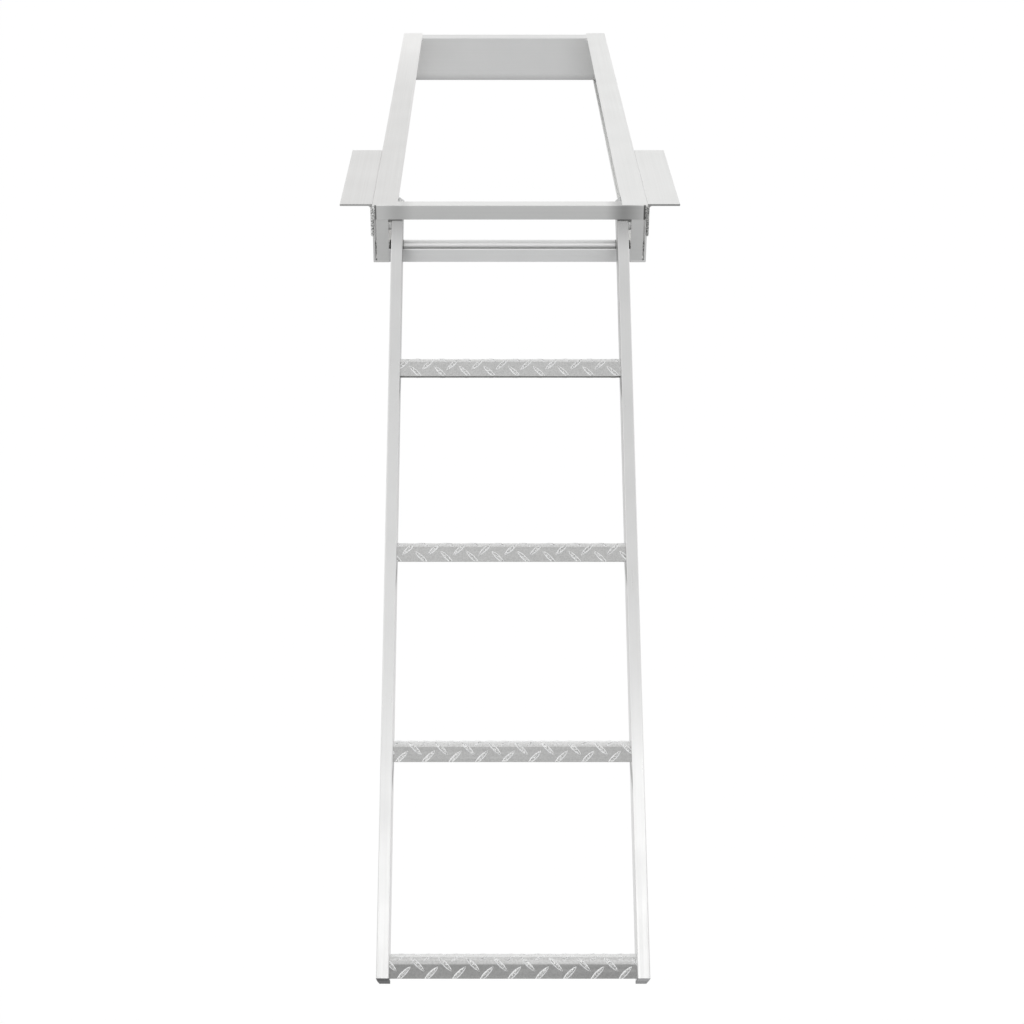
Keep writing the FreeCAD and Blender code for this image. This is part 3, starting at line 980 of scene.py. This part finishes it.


# Painted light by side: lighter rail and cap tones on the right, painted highlights, and shade on the angle
# ends.
SIDES = (
    SideLook("left", -1, rail=(0.82, 0.815, 0.805), far_highlight_gain=0.19, angle_end_shade=0.28, angle_weld=0.68,
             stringer_highlight_gain=0.0, cap=0.13),
    SideLook("right", 1, rail=(0.90, 0.90, 0.89), far_highlight_gain=0.0, angle_end_shade=0.5, angle_weld=0.40,
             stringer_highlight_gain=0.105, cap=0.44),
)


@dataclass(frozen=True)
class TreadLook:
    """Painted light of one tread: its plate and mark tones, and highlights on its top and upper edge."""

    number: int
    plate: float
    top_highlight_gain: float
    edge_highlight_gain: float
    edge_reach: float
    mark: float
    mark_highlight_gain: float


# Painted light: plates and marks painted darker on lower treads; the gains are painted highlights.
TREADS = (
    TreadLook(1, plate=0.64, top_highlight_gain=0.50, edge_highlight_gain=0.30, edge_reach=0.5 * MM, mark=0.66, mark_highlight_gain=0.40),
    TreadLook(2, plate=0.58, top_highlight_gain=0.65, edge_highlight_gain=0.27, edge_reach=1.0 * MM, mark=0.60, mark_highlight_gain=0.55),
    TreadLook(3, plate=0.48, top_highlight_gain=1.0, edge_highlight_gain=0.38, edge_reach=1.9 * MM, mark=0.58, mark_highlight_gain=0.65),
    TreadLook(4, plate=0.30, top_highlight_gain=1.75, edge_highlight_gain=0.9, edge_reach=4.2 * MM, mark=0.46, mark_highlight_gain=1.05),
)


@dataclass
class FixedFrame:
    """The rails, bars, rod and mounting angles that hang under the deck."""

    finishes: Finishes
    beads: WeldBeads

    def dress_bars(self) -> None:
        """Dress the two front bars, with painted shade near their ends and painted highlights on their upper
        faces, and the stop bars.
        """
        # Upper bar: painted highlights on its top leg and welds, painted shade and shadow lines near its
        # ends.
        top_leg_highlight = PaintedLightBand.facing("Z", 1.0, 0.4, -0.14)
        stringer_shades = (PaintedLightBand("X", 0.183, 0.034, 0.46), PaintedLightBand("X", -0.180, 0.03, 0.2))
        stop_shade = PaintedLightBand("X", 0.207, 0.022, 0.13)
        stop_shadow_lines = (PaintedLightBand("X", STOP_EDGE, STOP_SHADOW_LINE, 0.8, 0.6),
                      PaintedLightBand("X", -STOP_EDGE, STOP_SHADOW_LINE, 0.7, 0.6))
        weld_glints = (PaintedLightBand("X", -0.180, 0.010, -0.14, within=top_leg_highlight),
                       PaintedLightBand("X", 0.180, 0.008, -0.1, within=top_leg_highlight))
        upper_bands = (*stringer_shades, stop_shade, *stop_shadow_lines, top_leg_highlight, *weld_glints)
        # Lower bar: painted shade at its ends by the stringers, painted highlights on its top edge and lip.
        right_end_shade, left_end_shade = PaintedLightBand("X", 0.175, 0.02, 0.1), PaintedLightBand("X", -0.182, 0.034, 0.34)
        top_edge_highlight = PaintedLightBand.facing("Z", 1.0, 0.5, -0.3)
        lip = PaintedLightBand("Z", -0.0745, 0.0026, -0.03, 0.3)
        lower_bands = (right_end_shade, left_end_shade, top_edge_highlight, lip)
        upper = MetalFinish("bar_aluminium", (0.80, 0.80, 0.79), 0.36, bands=upper_bands)
        lower = MetalFinish("lower_bar_aluminium", BRIGHT, 0.36, bands=lower_bands)
        stops = self.finishes.metal(MetalFinish("stop_bar_aluminium", (0.78, 0.78, 0.77), 0.40))
        dress("front_top_bar", self.finishes.metal(upper))
        dress("front_lower_bar", self.finishes.metal(lower))
        for look in SIDES:
            dress(look.name + "_stop_bar", stops)

    def dress_crossmember(self) -> None:
        """Dress the crossmember, with painted shade on its flange and in its web's corners."""
        # Painted shade on the upward flange, along the web's lower edge and in its corners by the rails.
        flange = PaintedLightBand.facing("Z", 1.0, 0.4, 0.14)
        web = PaintedLightBand.facing("Y", -1.0, 0.3, 0.0)
        low = PaintedLightBand("Z", -0.096, 0.022, 0.3, within=web)
        right = PaintedLightBand("X", 0.215, 0.11, 0.16, within=web)
        left = PaintedLightBand("X", -0.215, 0.07, 0.09, within=web)
        rear = MetalFinish("crossmember_aluminium", BRIGHT, 0.36, bands=(flange, low, right, left))
        dress("rear_crossmember", self.finishes.metal(rear))

    def dress_rails(self) -> None:
        """Dress the rails, with painted shade in their mouths at the front, and the mounting angles."""
        mouth = PaintedLightBand("Y", -0.008, 0.064, 0.0, 0.3)
        for look in SIDES:
            # Painted shade in the mouth and on the angle's front end, a painted highlight towards the far
            # end.
            web = PaintedLightBand.facing("X", look.inward, 0.3, 0.8, within=mouth)
            far = PaintedLightBand("Y", 1.24, 0.55, -look.far_highlight_gain)
            end = PaintedLightBand.facing("Y", -1.0, 0.3, look.angle_end_shade)
            rail = MetalFinish(look.name + "_rail_aluminium", look.rail, 0.38, Grain.LENGTHWISE,
                               bands=(web, far))
            angle = replace(rail, name=look.name + "_mounting_aluminium", bands=(end,))
            dress(look.name + "_rail", self.finishes.metal(rail))
            dress(look.name + "_mounting_angle", self.finishes.metal(angle))

    def dress_rod(self) -> None:
        """Dress the rod, with painted shade on its underside, and its black sleeves."""
        # Painted shade on the rod's downward faces.
        below = PaintedLightBand.facing("Z", -0.4, 1.2, 0.42, 0.8)
        rod = MetalFinish("rod_aluminium", BRIGHT, 0.40, bands=(below,))
        dress("roller_rod", self.finishes.metal(rod))
        sleeve = self.finishes.plastic(PlasticFinish("sleeve_nylon", (0.018, 0.018, 0.017), 0.42))
        for look in SIDES:
            dress(look.name + "_rod_sleeve", sleeve)

    def dress(self) -> None:
        """Give every node of the frame its finish."""
        self.dress_bars()
        self.dress_crossmember()
        self.dress_rails()
        self.dress_rod()

    def add_beads(self) -> None:
        """Add the frame's weld beads, and the mounting angles' darker ones."""
        self.beads.build_frame()
        for look in SIDES:
            sooty = MetalFinish(look.name + "_weld_aluminium", grey(look.angle_weld, 0.98), 0.3,
                                cloud_depth=0.2, speck_depth=1.3)
            self.beads.build_angle(look.name, look.side, self.finishes.metal(sooty))


@dataclass
class SwingingLadder:
    """The stringers, treads, studs and end caps that turn on the rod.

    Each drop is measured down from the upper edge of a tread's front wall. The hem's painted shade
    begins at the wall's lower edge. The painted shade below a tread lies on the stringers' inner sides.
    """

    finishes: Finishes
    pattern: TreadPattern
    beads: WeldBeads
    hem_drop: float = 33.3 * MM
    hem_reach: float = 16.0 * MM
    shade_drop: float = 32.0 * MM
    shade_reach: float = 16.0 * MM
    mark_edge_highlight_gain: float = 0.3

    def dress_stringers(self) -> None:
        """Dress the tubes, their studs and their end caps."""
        # Painted shade on the stringers' tops, where they pass behind the bars.
        shade_behind_bars = PaintedLightBand("Z", -0.015, 0.055, 0.34)
        upper = PaintedLightBand("Z", 0.0, 0.9, 0.0)
        front = PaintedLightBand.facing("Z", 0.73, 0.4, 0.0, 0.4)
        stud = self.finishes.metal(MetalFinish("stud_aluminium", (0.92, 0.92, 0.91), 0.42, metallic=0.5))
        for look in SIDES:
            inner = PaintedLightBand.facing("X", look.inward, 0.4, 0.0, 0.4)
            # Painted shade on the inner sides, fading down the ladder.
            flank_shade = PaintedLightBand.facing("X", look.inward, 0.4, 0.46, 0.4, upper)
            # A painted highlight low on the front faces.
            front_highlight = PaintedLightBand("Z", -0.64, 0.13, -look.stringer_highlight_gain, within=front)
            # Painted shade on the inner sides below each tread.
            below = tuple(PaintedLightBand("Z", self.pattern.front_edge(number) - self.shade_drop, self.shade_reach,
                                   0.6, 0.8, within=inner) for number in range(1, TREAD_COUNT))
            tube = MetalFinish(look.name + "_tube_aluminium", (0.82, 0.82, 0.815), 0.34, Grain.LENGTHWISE,
                               SLOPE_DEG, bands=(shade_behind_bars, flank_shade, front_highlight, *below))
            # The caps' tones are painted light: the right cap is painted lighter.
            cap = PlasticFinish(look.name + "_cap_plastic", grey(look.cap, 1.0), 0.5)
            dress(look.name + "_stringer", self.finishes.metal(tube))
            dress(look.name + "_stop_stud", stud)
            dress(look.name + "_end_cap", self.finishes.plastic(cap))

    def painted_light_bands(self, look: TreadLook, top_highlight_gain: float, edge_highlight_gain: float) -> tuple[PaintedLightBand, ...]:
        """Return the painted light bands of a tread's plate or marks.

        Args:
            look: The tread's look.
            top_highlight_gain: How much the painted highlight brightens the top and its bend.
            edge_highlight_gain: How much the painted highlight brightens the front wall's upper edge.

        Returns:
            The painted highlights of the top and the upper edge, and the painted shade of the hem.
        """
        front = PaintedLightBand.facing("Y", -0.68, 0.12, 0.0)
        edge = self.pattern.front_edge(look.number)
        # Painted highlights on the top and the front wall's upper edge, and painted shade on the hem.
        return (PaintedLightBand.facing("Y", 0.6, 1.25, -top_highlight_gain, 0.16),
                PaintedLightBand("Z", edge, look.edge_reach, -edge_highlight_gain, 0.5, within=front),
                PaintedLightBand("Z", edge - self.hem_drop, self.hem_reach, 0.5, 0.2))

    def dress_treads(self) -> None:
        """Dress the treads' plates."""
        for look in TREADS:
            plate = MetalFinish("tread_%d_aluminium" % look.number, grey(look.plate), 0.42, Grain.ACROSS,
                                SLOPE_DEG, cloud_depth=0.12, speck_depth=0.16,
                                bands=self.painted_light_bands(look, look.top_highlight_gain, look.edge_highlight_gain))
            dress("tread_%d" % look.number, self.finishes.metal(plate))

    def dress(self) -> None:
        """Give every node of the ladder its finish."""
        self.dress_stringers()
        self.dress_treads()

    def add_patterns(self) -> None:
        """Add the raised marks of each tread."""
        # The marks' sides are painted bright as a highlight, near white and barely metallic.
        sides = self.finishes.metal(MetalFinish("mark_side_painted_highlight", (0.97, 0.97, 0.965), 0.3, Grain.ACROSS,
                                                SLOPE_DEG, metallic=0.25, speck_depth=0.3))
        for look in TREADS:
            bands = self.painted_light_bands(look, look.mark_highlight_gain, self.mark_edge_highlight_gain)
            back = MetalFinish("mark_%d_back" % look.number, grey(look.mark), 0.40, Grain.ACROSS, SLOPE_DEG,
                               speck_depth=0.8, bands=bands)
            self.pattern.build(look.number, self.finishes.metal(back), sides)

    def add_beads(self) -> None:
        """Add the weld beads under the treads."""
        self.beads.build_treads(self.pattern)


class BoardingLadder:
    """The whole object: the fixed frame and the ladder that swings on its rod."""

    def __init__(self) -> None:
        finishes = Finishes()
        axes = LadderAxes()
        weld = MetalFinish("weld_aluminium", (0.93, 0.93, 0.92), 0.26, cloud_depth=0.2, metallic=0.55,
                           speck_depth=0.5)
        beads = WeldBeads(axes, finishes.metal(weld))
        self.fixed = FixedFrame(finishes, beads)
        self.ladder = SwingingLadder(finishes, TreadPattern(axes), beads)

    def build(self) -> None:
        """Dress the CAD nodes and add the fine detail."""
        self.fixed.dress()
        self.ladder.dress()
        self.ladder.add_patterns()
        self.fixed.add_beads()
        self.ladder.add_beads()


def main() -> None:
    """Build the ladder and its studio."""
    logging.basicConfig(level=logging.INFO, format="%(name)s %(message)s")
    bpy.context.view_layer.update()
    BoardingLadder().build()
    Studio().build()


if __name__ == "__main__":
    main()
